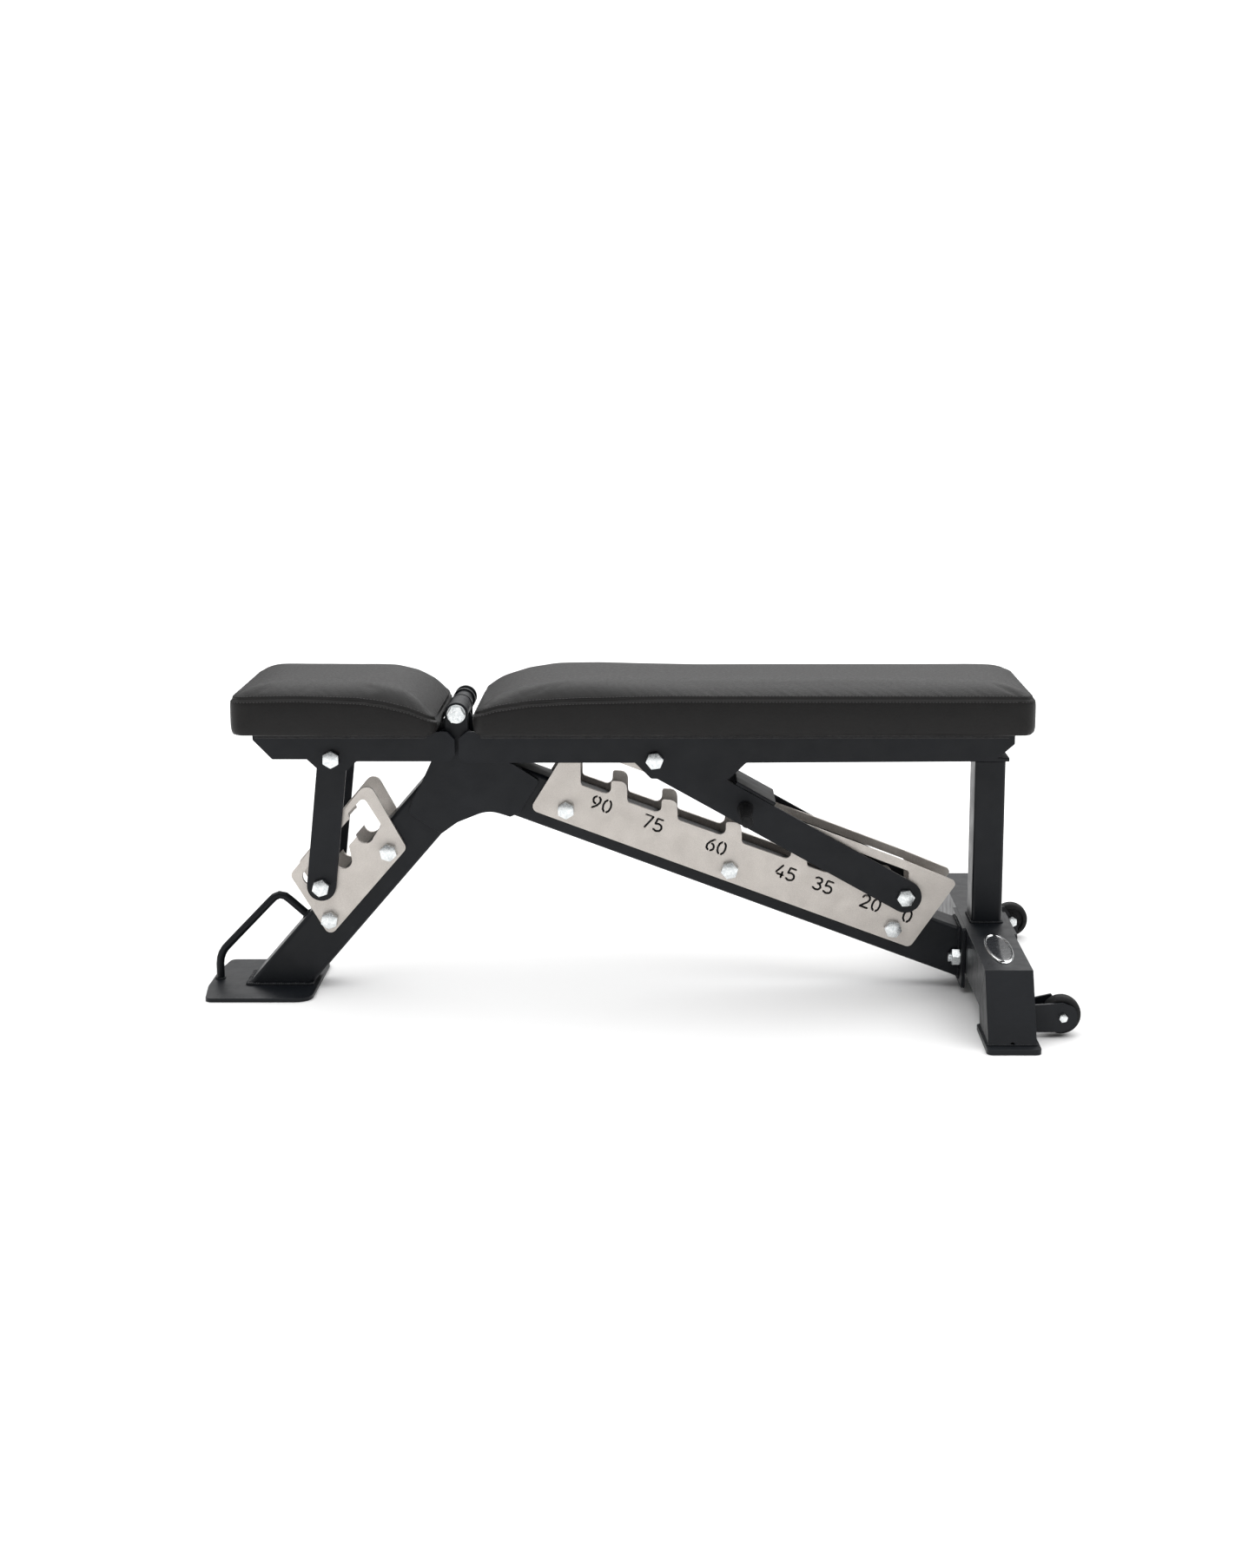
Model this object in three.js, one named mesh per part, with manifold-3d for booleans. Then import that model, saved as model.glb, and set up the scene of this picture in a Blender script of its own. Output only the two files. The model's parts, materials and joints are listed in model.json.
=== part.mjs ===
// Adjustable weight bench: welded 70 mm box-tube frame, a hinged seat and backrest, two
// slotted ladder plate pairs, prop struts that drop into them, and two transport wheels.
// Millimetres. +X runs to the head end, +Y away from the near side, +Z up, floor at z = 0.
import * as THREE from 'three';
import Module from 'manifold-3d';

const wasm = await Module();
wasm.setup();

// ---- driving dimensions -------------------------------------------------------------
const GAP = 0.3;                 // fit gap left between pieces that touch
const TUBE = 70;                 // main box tube, outside
const TUBE_R = 6;                // its corner radius
const WALL = 3;                  // tube wall
const HALF = TUBE / 2;           // half tube = inner face of gussets and ladders
const PLATE = 6;                 // laser-cut plate thickness
const PLATE_OUT = HALF + GAP + PLATE;      // outer face of gussets and ladders
const STRUT_IN = PLATE_OUT + 2;            // strut bars run just outside the ladders
const STRUT_OUT = STRUT_IN + PLATE;
const SIDE_IN = STRUT_OUT + 2;             // seat and back side plates, outside the struts
const SIDE_OUT = SIDE_IN + PLATE;

const HINGE = [-247.5, 406.5];   // seat and back share this axis (x, z)
const EAR_R = 16.5;              // rounded ears and knuckles round the hinge
const SEAT_PIVOT = [-424, 345];
const SEAT_PIN = [-445, 156];    // lower strut pin, seat flat
const BACK_PIVOT = [34, 343];
const BACK_PIN = [394, 141];     // lower strut pin, back flat

const FOOT_T = 6;                // front foot plate
const LEG_SLOPE = 49.2;          // front leg, degrees from the floor
const LEG_AT = [-492.5, 29];     // a point on its centreline
const BEAM_SLOPE = 20.49;        // rear beam, degrees down towards the head end
const BEAM_AT = [475, 54.4];     // a point on its centreline
const BEAM_END = 474.6;           // rear end of the beam, against its flange
const FLANGE_Y = 49.5;           // flange bolts, beside the beam
const FLANGE_Z = 52;

const CROSS_X = 513;             // rear cross tube, centre
const CROSS_W = 65;
const CROSS_TOP = 97.5;
const CROSS_H = 66;
const CROSS_HALF = 281;          // half length along its top
const REAR_FOOT_T = 8;
const POST_W = 44;               // along X
const POST_D = 60;               // along Y
const POST_TOP = 335;

const WHEEL = [588.5, 29.5];       // axle x, z
const WHEEL_R = 26.5;
const WHEEL_W = 24;
const WHEEL_Y = 256;

const PAD_Z = 390;               // underside of both pads
const PAD_HALF = 130;            // half width of both pads
const BOARD_T = 6;
const FRAME_TOP = PAD_Z - BOARD_T - 2 * GAP;

const BOLT_R = 7;                // M14 shank
const HEX_AF = 22;               // across flats
const HEX_H = 9;
const HOLE = 0.35;               // radial play of a bolt in its hole

// backrest ladder: pin seat for each marked angle, in order from upright to flat
const BACK_SEATS = [
  [90, -47, 303], [75, 25, 276], [60, 117, 243], [45, 211, 208],
  [35, 269, 187], [20, 340, 161], [0, 393, 141.5],
];
const SEAT_STEP = [32, 37];      // from one seat-ladder notch to the next
const NOTCH_R = 12;

// ---- materials ----------------------------------------------------------------------
const SLOTS = {
  powder_coat: [0x20252b, 0.35, 0.45],
  steel_plate: [0xb9b2a8, 0.9, 0.4],
  zinc: [0xd4dadc, 0.95, 0.3],
  vinyl: [0x26262a, 0.0, 0.5],
  rubber: [0x18191b, 0.0, 0.75],
  backing: [0x1d1d1e, 0.0, 0.9],
  chrome: [0xe4e7ea, 1.0, 0.15],
};
const group = new THREE.Group();
group.name = 'adjustable_weight_bench';

function add(name, solid, slot) {
  const geo = solid.isBufferGeometry ? solid : toGeometry(solid);
  const [color, metalness, roughness] = SLOTS[slot];
  const mat = new THREE.MeshStandardMaterial({ color, metalness, roughness });
  mat.name = slot;
  const mesh = new THREE.Mesh(geo, mat);
  mesh.name = name;
  group.add(mesh);
}

// ---- solids -------------------------------------------------------------------------
function weld(geo) {
  const g = geo.index ? geo.toNonIndexed() : geo;
  const pos = g.attributes.position;
  const seen = new Map();
  const verts = [];
  const tris = [];
  for (let i = 0; i < pos.count; i += 1) {
    const p = [pos.getX(i), pos.getY(i), pos.getZ(i)];
    const key = p.map((v) => Math.round(v * 1e4)).join(',');
    if (!seen.has(key)) {
      seen.set(key, verts.length / 3);
      verts.push(...p);
    }
    tris.push(seen.get(key));
  }
  const kept = [];
  for (let i = 0; i < tris.length; i += 3) {
    const [a, b, c] = tris.slice(i, i + 3);
    if (a !== b && b !== c && c !== a) kept.push(a, b, c);
  }
  return { verts, kept };
}

function toSolid(geo) {
  const { verts, kept } = weld(geo);
  return new wasm.Manifold(new wasm.Mesh({
    numProp: 3,
    vertProperties: Float32Array.from(verts),
    triVerts: Uint32Array.from(kept),
  }));
}

function toGeometry(solid) {
  const mesh = solid.getMesh();
  const geo = new THREE.BufferGeometry();
  geo.setAttribute('position', new THREE.BufferAttribute(mesh.vertProperties, 3));
  geo.setIndex(new THREE.BufferAttribute(mesh.triVerts, 1));
  return geo;
}

function join(first, ...rest) {
  return rest.reduce((sum, s) => sum.add(s), first);
}

function cut(first, ...rest) {
  return rest.reduce((left, s) => left.subtract(s), first);
}

// corner list [x, z, radius] -> smooth closed outline of plain points
function outline(corners, steps = 5) {
  const out = [];
  const n = corners.length;
  corners.forEach(([x, z, r = 0], i) => {
    if (!r) {
      out.push(new THREE.Vector2(x, z));
      return;
    }
    const here = new THREE.Vector2(x, z);
    const prev = new THREE.Vector2(...corners[(i + n - 1) % n].slice(0, 2)).sub(here);
    const next = new THREE.Vector2(...corners[(i + 1) % n].slice(0, 2)).sub(here);
    const half = Math.acos(prev.clone().normalize().dot(next.clone().normalize())) / 2;
    const reach = Math.min(r / Math.tan(half), prev.length() * 0.49, next.length() * 0.49);
    const round = reach * Math.tan(half);
    const mid = prev.normalize().clone().add(next.normalize()).normalize();
    const centre = here.clone().add(mid.multiplyScalar(round / Math.sin(half)));
    const from = here.clone().add(prev.multiplyScalar(reach)).sub(centre);
    const to = here.clone().add(next.multiplyScalar(reach)).sub(centre);
    const start = Math.atan2(from.y, from.x);
    let sweep = Math.atan2(to.y, to.x) - start;
    if (sweep > Math.PI) sweep -= 2 * Math.PI;
    if (sweep < -Math.PI) sweep += 2 * Math.PI;
    for (let k = 0; k <= steps; k += 1) {
      const a = start + (sweep * k) / steps;
      out.push(new THREE.Vector2(centre.x + round * Math.cos(a), centre.y + round * Math.sin(a)));
    }
  });
  return out;
}

// side profile in x, z pushed through from y0 to y1
function slab(points, y0, y1) {
  const geo = new THREE.ExtrudeGeometry(new THREE.Shape(points), {
    depth: Math.abs(y1 - y0),
    bevelEnabled: false,
  });
  geo.rotateX(Math.PI / 2);
  geo.translate(0, Math.max(y0, y1), 0);
  return toSolid(geo);
}

// plan view in x, y pushed up from z0 to z1
function plan(points, z0, z1) {
  const geo = new THREE.ExtrudeGeometry(new THREE.Shape(points), {
    depth: z1 - z0,
    bevelEnabled: false,
  });
  geo.translate(0, 0, z0);
  return toSolid(geo);
}

// end view in y, z pushed along X from x0 to x1
function frontal(points, x0, x1) {
  const geo = new THREE.ExtrudeGeometry(new THREE.Shape(points), {
    depth: x1 - x0,
    bevelEnabled: false,
  });
  geo.rotateX(Math.PI / 2);
  geo.rotateZ(Math.PI / 2);
  geo.translate(x0, 0, 0);
  return toSolid(geo);
}

function box(x0, x1, y0, y1, z0, z1) {
  const geo = new THREE.BoxGeometry(x1 - x0, Math.abs(y1 - y0), z1 - z0);
  geo.translate((x0 + x1) / 2, (y0 + y1) / 2, (z0 + z1) / 2);
  return toSolid(geo);
}

// round bar along Y
function rod([x, z], r, y0, y1, seg = 20) {
  const geo = new THREE.CylinderGeometry(r, r, Math.abs(y1 - y0), seg);
  geo.translate(x, (y0 + y1) / 2, 0);
  geo.translate(0, 0, z);
  return toSolid(geo);
}

// lathed profile [radius, y] turned round an axis along Y
function turned([x, z], profile, seg = 28) {
  const geo = new THREE.LatheGeometry(profile.map(([r, y]) => new THREE.Vector2(r, y)), seg);
  geo.translate(x, 0, z);
  return toSolid(geo);
}

function hex([x, z], y0, y1, turn = 0, af = HEX_AF) {
  const geo = new THREE.CylinderGeometry(af / Math.sqrt(3), af / Math.sqrt(3), Math.abs(y1 - y0), 6);
  geo.rotateY(turn);
  geo.translate(x, (y0 + y1) / 2, z);
  return toSolid(geo);
}

// flat link: the outline round two circles
function link([ax, az], ra, [bx, bz], rb, steps = 9) {
  const len = Math.hypot(bx - ax, bz - az);
  const dir = Math.atan2(bz - az, bx - ax);
  const open = Math.acos((ra - rb) / len);
  const pts = [];
  for (let k = 0; k <= steps; k += 1) {
    const a = dir + open + ((2 * Math.PI - 2 * open) * k) / steps;
    pts.push(new THREE.Vector2(ax + ra * Math.cos(a), az + ra * Math.sin(a)));
  }
  for (let k = 0; k <= steps; k += 1) {
    const a = dir - open + (2 * open * k) / steps;
    pts.push(new THREE.Vector2(bx + rb * Math.cos(a), bz + rb * Math.sin(a)));
  }
  return pts;
}

// y range of a plate on one side of the mid-plane: side -1 is near, +1 is far
const span = (side, inner, outer) => (side < 0 ? [-outer, -inner] : [inner, outer]);
const SIDES = [['near', -1], ['far', 1]];

// long square tube between two points, corners rounded, ends left square
function tubeRun([ax, az], [bx, bz], size = TUBE, r = TUBE_R) {
  const h = size / 2;
  const section = outline([[-h, -h, r], [h, -h, r], [h, h, r], [-h, h, r]], 4);
  const len = Math.hypot(bx - ax, bz - az);
  const geo = new THREE.ExtrudeGeometry(new THREE.Shape(section), { depth: len, bevelEnabled: false });
  geo.rotateY(Math.PI / 2);
  geo.rotateY(-Math.atan2(bz - az, bx - ax));
  geo.translate(ax, 0, az);
  return toSolid(geo);
}

// through bolt along Y: hex head and washer near, nut and washer far
function throughBolt(at, halfGrip, turn = 0) {
  const washer = 1.8;
  const near = -halfGrip - GAP;
  const far = halfGrip + GAP;
  return join(
    rod(at, BOLT_R, near - washer - 1, far + washer + HEX_H + 3, 12),
    rod(at, HEX_AF / 2 + 2.5, near - washer, near, 18),
    hex(at, near - washer - HEX_H, near - washer, turn),
    rod(at, HEX_AF / 2 + 2.5, far, far + washer, 18),
    hex(at, far + washer, far + washer + HEX_H, turn),
  );
}

// short bolt held in one plate; its head faces outwards
function plateBolt(at, side, inner, outer, turn = 0) {
  const washer = 1.8;
  return join(
    rod(at, BOLT_R, side * inner, side * (outer + GAP + washer + 1), 12),
    rod(at, HEX_AF / 2 + 2.5, side * (outer + GAP), side * (outer + GAP + washer), 18),
    hex(at, side * (outer + GAP + washer), side * (outer + GAP + washer + HEX_H), turn),
  );
}

const bore = (at, half = 80, r = BOLT_R + HOLE) => rod(at, r, -half, half, 14);

// ---- points along the sloping tubes --------------------------------------------------
const legDir = [Math.cos(THREE.MathUtils.degToRad(LEG_SLOPE)), Math.sin(THREE.MathUtils.degToRad(LEG_SLOPE))];
const beamDir = [Math.cos(THREE.MathUtils.degToRad(BEAM_SLOPE)), -Math.sin(THREE.MathUtils.degToRad(BEAM_SLOPE))];
const alongLeg = (t, off = 0) => [
  LEG_AT[0] + t * legDir[0] - off * legDir[1],
  LEG_AT[1] + t * legDir[1] + off * legDir[0],
];
const alongBeam = (t, off = 0) => [
  BEAM_AT[0] + t * beamDir[0] - off * beamDir[1],
  BEAM_AT[1] + t * beamDir[1] + off * beamDir[0],
];

const BACK_LADDER_BOLTS = [[-93, 268], [141, 180], [377, 93]];
const SEAT_LADDER_BOLTS = [[-435, 106], [-348, 206]];

// ---- fixed frame ---------------------------------------------------------------------
function frontFoot() {
  const pts = outline([[-607, -105, 10], [-456, -105, 24], [-456, 105, 24], [-607, 105, 10], [-615, 40, 60],
    [-615, -40, 60]], 5);
  add('front_foot_plate', plan(pts, 0, FOOT_T), 'powder_coat');
}

function frontHandle() {
  const r = 6;
  const legTop = alongLeg(68, HALF);
  const path = new THREE.CurvePath();
  const knots = [[-604, FOOT_T - 2], [-604, 44], [-513, 138], legTop];
  const bent = [];
  knots.forEach(([x, z], i) => {
    if (i === 0 || i === knots.length - 1) {
      bent.push(new THREE.Vector3(x, 0, z));
      return;
    }
    const a = new THREE.Vector3(knots[i - 1][0] - x, 0, knots[i - 1][1] - z);
    const b = new THREE.Vector3(knots[i + 1][0] - x, 0, knots[i + 1][1] - z);
    const reach = Math.min(16, a.length() * 0.45, b.length() * 0.45);
    bent.push(new THREE.Vector3(x, 0, z).add(a.normalize().multiplyScalar(reach)));
    bent.push(new THREE.Vector3(x, 0, z));
    bent.push(new THREE.Vector3(x, 0, z).add(b.normalize().multiplyScalar(reach)));
  });
  path.add(new THREE.LineCurve3(bent[0], bent[1]));
  for (let i = 1; i < bent.length - 1; i += 3) {
    path.add(new THREE.QuadraticBezierCurve3(bent[i], bent[i + 1], bent[i + 2]));
    path.add(new THREE.LineCurve3(bent[i + 2], bent[i + 3]));
  }
  const ring = [];
  for (let k = 0; k < 10; k += 1) {
    ring.push(new THREE.Vector2(r * Math.cos((k * Math.PI) / 5), r * Math.sin((k * Math.PI) / 5)));
  }
  const geo = new THREE.ExtrudeGeometry(new THREE.Shape(ring), {
    steps: 26,
    extrudePath: path,
    bevelEnabled: false,
  });
  const bar = toSolid(geo);
  const legKeepOut = tubeRun(alongLeg(-80), alongLeg(420), TUBE + 2 * GAP, TUBE_R);
  const floorKeepOut = box(-700, -400, -40, 40, -60, FOOT_T + GAP);
  add('front_handle', cut(bar, legKeepOut, floorKeepOut), 'powder_coat');
}

function frontLeg() {
  const run = tubeRun(alongLeg(-80), alongLeg(420));
  const body = cut(
    run,
    tubeRun(alongLeg(-100), alongLeg(440), TUBE - 2 * WALL, TUBE_R - WALL),
    box(-720, -300, -60, 60, -120, FOOT_T + GAP),
    box(-420, 0, -60, 60, 348, 520),
    ...SEAT_LADDER_BOLTS.map((at) => bore(at)),
  );
  add('front_leg', body, 'powder_coat');
}

function rearBeam() {
  const run = tubeRun(alongBeam(-800), alongBeam(60));
  const legSide = slab([
    new THREE.Vector2(...alongLeg(-60, -HALF - GAP)),
    new THREE.Vector2(...alongLeg(700, -HALF - GAP)),
    new THREE.Vector2(...alongLeg(700, 400)),
    new THREE.Vector2(...alongLeg(-60, 400)),
  ].reverse(), -60, 60);
  const body = cut(
    run,
    tubeRun(alongBeam(-820), alongBeam(80), TUBE - 2 * WALL, TUBE_R - WALL),
    legSide,
    box(BEAM_END, BEAM_END + 200, -60, 60, -80, 200),
    ...BACK_LADDER_BOLTS.map((at) => bore(at)),
  );
  add('rear_beam', body, 'powder_coat');
}

function gussets() {
  const [hx, hz] = HINGE;
  const corners = [
    [hx - EAR_R, hz - 20, 0], [hx - EAR_R, 385, 3], [-272, 382, 4], [-278, 365, 6], [-285, 337, 10],
    [-300, 305, 14], [-311, 285, 8], [-319, 263, 9], [-281, 237, 0], [-271, 233, 0], [-249, 249, 30],
    [-204, 267, 60], [-173, 257, 0], [-159, 263, 8], [-130, 310, 6], [-167, 334, 5], [-214, 352, 12],
    [-222, 378, 5], [hx + EAR_R, 384, 3], [hx + EAR_R, hz - 20, 0],
  ];
  const body = outline(corners, 5);
  SIDES.forEach(([word, side]) => {
    const [y0, y1] = span(side, HALF + GAP, PLATE_OUT);
    const plate = join(slab(body, y0, y1), rod(HINGE, EAR_R, y0, y1, 32), box(hx - EAR_R, hx + EAR_R, y0, y1,
      hz - 21, hz));
    add(`gusset_${word}`, cut(plate, bore(HINGE, 80, 8 + HOLE)), 'powder_coat');
  });
}

function hingePin() {
  const near = -PLATE_OUT - GAP;
  const far = PLATE_OUT + GAP;
  const pin = join(
    rod(HINGE, 8, near - 3, 119, 20),
    rod(HINGE, 13.5, near - 1.8, near, 24),
    hex(HINGE, near - 1.8 - HEX_H, near - 1.8, Math.PI / 6),
  );
  add('hinge_pin', pin, 'zinc');
  const sleeve = turned(HINGE, [
    [8 + HOLE, far], [EAR_R - 3, far], [EAR_R - 3, 84], [EAR_R, 84], [EAR_R, 92], [EAR_R - 3, 92],
    [EAR_R - 3, 112], [EAR_R, 112], [EAR_R, 118], [EAR_R - 2, 121], [0, 121], [0, 119 + GAP],
    [8 + HOLE, 119 + GAP], [8 + HOLE, far],
  ], 28);
  add('hinge_far_sleeve', sleeve, 'powder_coat');
}

// ladder slot floor: sloping pin seats with upright stops between them
function backSlot() {
  const roofAt = (x) => 177.5 + 0.382 * (399 - x);
  const floorAt = ([, x, z], at) => z - 11 + 0.363 * (x + 7.3 - at);
  const corners = [[399, roofAt(399), 4], [-72, roofAt(-72), 5], [-72, floorAt(BACK_SEATS[0], -72), 5]];
  BACK_SEATS.forEach((place, i) => {
    const [, x, z] = place;
    const next = BACK_SEATS[i + 1];
    if (!next) {
      corners.push([399, z - 12.5, 6]);
      return;
    }
    corners.push([x + 18.3, floorAt(place, x + 18.3), 10]);
    corners.push([x + 18.8, z + 7, 4], [x + 41, z + 5.5, 11]);
    corners.push([x + 41.5, floorAt(next, x + 41.5), 5]);
  });
  return outline(corners, 4);
}

// stencil numerals: strokes on a 10 x 16 grid, open where a bridge holds the island
const GLYPHS = {
  0: [[[3.4, 0.2], [0.9, 3], [0, 8], [0.9, 13], [3.4, 15.8]], [[6.6, 15.8], [9.1, 13], [10, 8], [9.1, 3],
    [6.6, 0.2]]],
  2: [[[0, 12], [1.5, 15], [5, 16], [8.5, 15], [9.6, 11.6], [8, 8], [0, 0]], [[0, 0], [10, 0]]],
  3: [[[0, 14.4], [3, 16], [7.6, 15.4], [9.4, 12.4], [7.6, 9.4], [4.4, 8.6]], [[4.4, 8.6], [8.4, 7.4], [10, 4],
    [8, 1], [4, 0], [0, 1.8]]],
  4: [[[6, 16], [0, 5.2]], [[1.8, 3.6], [10, 3.6]], [[8, 7.6], [8, 0]]],
  5: [[[9, 16], [1.4, 16]], [[1.4, 16], [0.6, 8.8]], [[0.6, 8.8], [4.6, 10], [8.6, 8.6], [10, 5], [8.4, 1.4],
    [4, 0], [0, 1.6]]],
  6: [[[8.2, 15.8], [3.2, 11.6], [0.4, 6.6], [0.8, 2.4], [3.4, 0.2]], [[6.6, 0.2], [9.4, 2.4], [9.8, 5.6],
    [8, 8.8], [5.4, 9.6]]],
  7: [[[0, 16], [10, 16]], [[10, 16], [3.4, 0]]],
  9: [[[1.8, 0.2], [6.8, 4.4], [9.6, 9.4], [9.2, 13.6], [6.6, 15.8]], [[3.4, 15.8], [0.6, 13.6], [0.2, 10.4],
    [2, 7.2], [4.6, 6.4]]],
};
const LABEL_H = 18;              // numeral height
const LABELS = [[90, -42, 275.5], [75, 31.5, 247.5], [60, 122, 214], [45, 222, 175], [35, 276, 156], [20, 345, 130],
  [0, 398, 111]];

function numerals(y0, y1) {
  const unit = LABEL_H / 16;
  const tilt = THREE.MathUtils.degToRad(-BEAM_SLOPE);
  const cuts = [];
  LABELS.forEach(([value, cx, cz]) => {
    const digits = String(value).split('');
    const width = digits.length * 10 + (digits.length - 1) * 4.5;
    digits.forEach((digit, n) => {
      const place = ([gx, gz]) => {
        const u = (gx + n * 14.5 - width / 2) * unit;
        const v = (gz - 8) * unit;
        return [cx + u * Math.cos(tilt) - v * Math.sin(tilt), cz + u * Math.sin(tilt) + v * Math.cos(tilt)];
      };
      GLYPHS[digit].forEach((stroke) => {
        for (let k = 1; k < stroke.length; k += 1) {
          cuts.push(slab(link(place(stroke[k - 1]), 1.55, place(stroke[k]), 1.549, 2), y0 - 1, y1 + 1));
        }
      });
    });
  });
  return cuts;
}

function backLadders() {
  const edge = outline([
    [-145, 268, 9], [42, 198, 0], [402, 64, 9], [469, 161, 6], [399, 190, 0], [278, 236.2, 0], [-74, 370.7, 10],
    [-104, 334, 0],
  ], 5);
  SIDES.forEach(([word, side]) => {
    const [y0, y1] = span(side, HALF + GAP, PLATE_OUT);
    const plate = cut(
      slab(edge, y0, y1),
      slab(backSlot(), y0 - 1, y1 + 1),
      ...BACK_LADDER_BOLTS.map((at) => bore(at)),
    );
    const marked = side < 0 ? cut(plate, ...numerals(y0, y1)) : plate;
    add(`back_ladder_${word}`, marked, 'steel_plate');
  });
  BACK_LADDER_BOLTS.forEach((at, i) => {
    add(`back_ladder_bolt_${i + 1}`, throughBolt(at, PLATE_OUT, i * 0.35), 'zinc');
  });
}

function seatLadders() {
  const edge = outline([[-491, 172, 9], [-436, 80, 9], [-322, 211, 9], [-375.5, 310, 12]], 5);
  const up = [-0.2, 1];
  const notches = [0, 1, 2].map((i) => [SEAT_PIN[0] + i * SEAT_STEP[0], SEAT_PIN[1] + i * SEAT_STEP[1]]);
  const lift = ([x, z], d) => [x + up[0] * d, z + up[1] * d];
  const shift = ([x, z]) => [x - 15.4, z + 13.4];
  SIDES.forEach(([word, side]) => {
    const [y0, y1] = span(side, HALF + GAP, PLATE_OUT);
    const slot = [slab(link(shift(notches[0]), 12.5, shift(notches[2]), 12.49, 8), y0 - 1, y1 + 1)];
    notches.forEach((n) => {
      slot.push(slab(link(n, NOTCH_R, lift(n, 16), NOTCH_R - 0.01, 8), y0 - 1, y1 + 1));
    });
    const top = shift(notches[2]);
    const inset = side < 0 ? 0 : 4.5;
    slot.push(slab(outline([[-406, 261, 3], [top[0] + 6, top[1] - 16, 3], [-370, 226, 6],
      [-357.5 - inset, 245, 6], [-382.5 - inset, 286.5 - inset, 6]], 4), y0 - 1, y1 + 1));
    const plate = cut(slab(edge, y0, y1), ...slot, ...SEAT_LADDER_BOLTS.map((at) => bore(at)));
    add(`seat_ladder_${word}`, plate, 'steel_plate');
  });
  SEAT_LADDER_BOLTS.forEach((at, i) => {
    add(`seat_ladder_bolt_${i + 1}`, throughBolt(at, PLATE_OUT, 0.2 + i * 0.3), 'zinc');
  });
}

function rearFoot() {
  const x0 = CROSS_X - CROSS_W / 2;
  const x1 = CROSS_X + CROSS_W / 2;
  const low = CROSS_TOP - CROSS_H;
  const inner = CROSS_HALF - 54;
  const tube = frontal([
    new THREE.Vector2(-CROSS_HALF, CROSS_TOP), new THREE.Vector2(-inner, low), new THREE.Vector2(inner, low),
    new THREE.Vector2(CROSS_HALF, CROSS_TOP),
  ], x0, x1);
  const hollow = box(x0 + WALL, x1 - WALL, -400, 400, low + WALL, CROSS_TOP - WALL);
  const bores = [-FLANGE_Y, FLANGE_Y].map((y) => {
    const geo = new THREE.CylinderGeometry(BOLT_R + HOLE, BOLT_R + HOLE, 130, 14);
    geo.rotateZ(Math.PI / 2);
    geo.translate(CROSS_X, y, FLANGE_Z);
    return toSolid(geo);
  });
  add('cross_tube', cut(tube, hollow, ...bores), 'powder_coat');
  SIDES.forEach(([word, side]) => {
    const y = (v) => side * v;
    const pts = [
      new THREE.Vector2(y(CROSS_HALF + GAP), CROSS_TOP), new THREE.Vector2(y(inner + GAP), low),
      new THREE.Vector2(y(inner + 11), REAR_FOOT_T + GAP), new THREE.Vector2(y(333), REAR_FOOT_T + GAP),
    ];
    const skin = WALL * 1.3;
    const room = [
      new THREE.Vector2(y(CROSS_HALF + GAP - 12 - skin), CROSS_TOP + 20),
      new THREE.Vector2(y(inner + GAP - 4 + skin), low + 20),
      new THREE.Vector2(y(inner + 15 + skin), REAR_FOOT_T - 8), new THREE.Vector2(y(337 - skin), REAR_FOOT_T - 8),
    ];
    const drain = rod([CROSS_X, REAR_FOOT_T + GAP], 3.4, side < 0 ? -360 : 310, side < 0 ? -310 : 360, 14);
    const leg = frontal(side < 0 ? pts : pts.reverse(), x0, x1);
    const inside = frontal(side < 0 ? room : room.reverse(), x0 + WALL, x1 - WALL);
    add(`foot_leg_${word}`, cut(leg, inside, drain), 'powder_coat');
    const foot = outline([[477, y(350), 8], [550, y(350), 8], [550, y(232), 4], [477, y(232), 4]], 4);
    add(`foot_plate_${word}`, plan(side < 0 ? foot : foot.reverse(), 0, REAR_FOOT_T), 'powder_coat');
  });
  const xp = CROSS_X + 1;
  const h = POST_W / 2;
  const d = POST_D / 2;
  const section = outline([[xp - h, -d, 5], [xp + h, -d, 5], [xp + h, d, 5], [xp - h, d, 5]], 4);
  const core = outline([[xp - h + WALL, WALL - d, 2], [xp + h - WALL, WALL - d, 2], [xp + h - WALL, d - WALL, 2],
    [xp - h + WALL, d - WALL, 2]], 3);
  add('rear_post', cut(plan(section, CROSS_TOP + GAP, POST_TOP), plan(core, 0, 500)), 'powder_coat');
  const cap = outline([[xp - h - 1, -d - 1, 6], [xp + h + 3, -d - 1, 6], [xp + h + 3, d + 1, 6],
    [xp - h - 1, d + 1, 6]], 4);
  add('post_cap', plan(cap, POST_TOP + GAP, POST_TOP + 4), 'rubber');
  const oval = [];
  for (let k = 0; k < 32; k += 1) {
    const a = (k * Math.PI) / 16;
    oval.push(new THREE.Vector2(CROSS_X + 18.5 * Math.cos(a), -172 + 78 * Math.sin(a)));
  }
  add('badge', plan(oval, CROSS_TOP + GAP, CROSS_TOP + 3), 'chrome');
}

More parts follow.
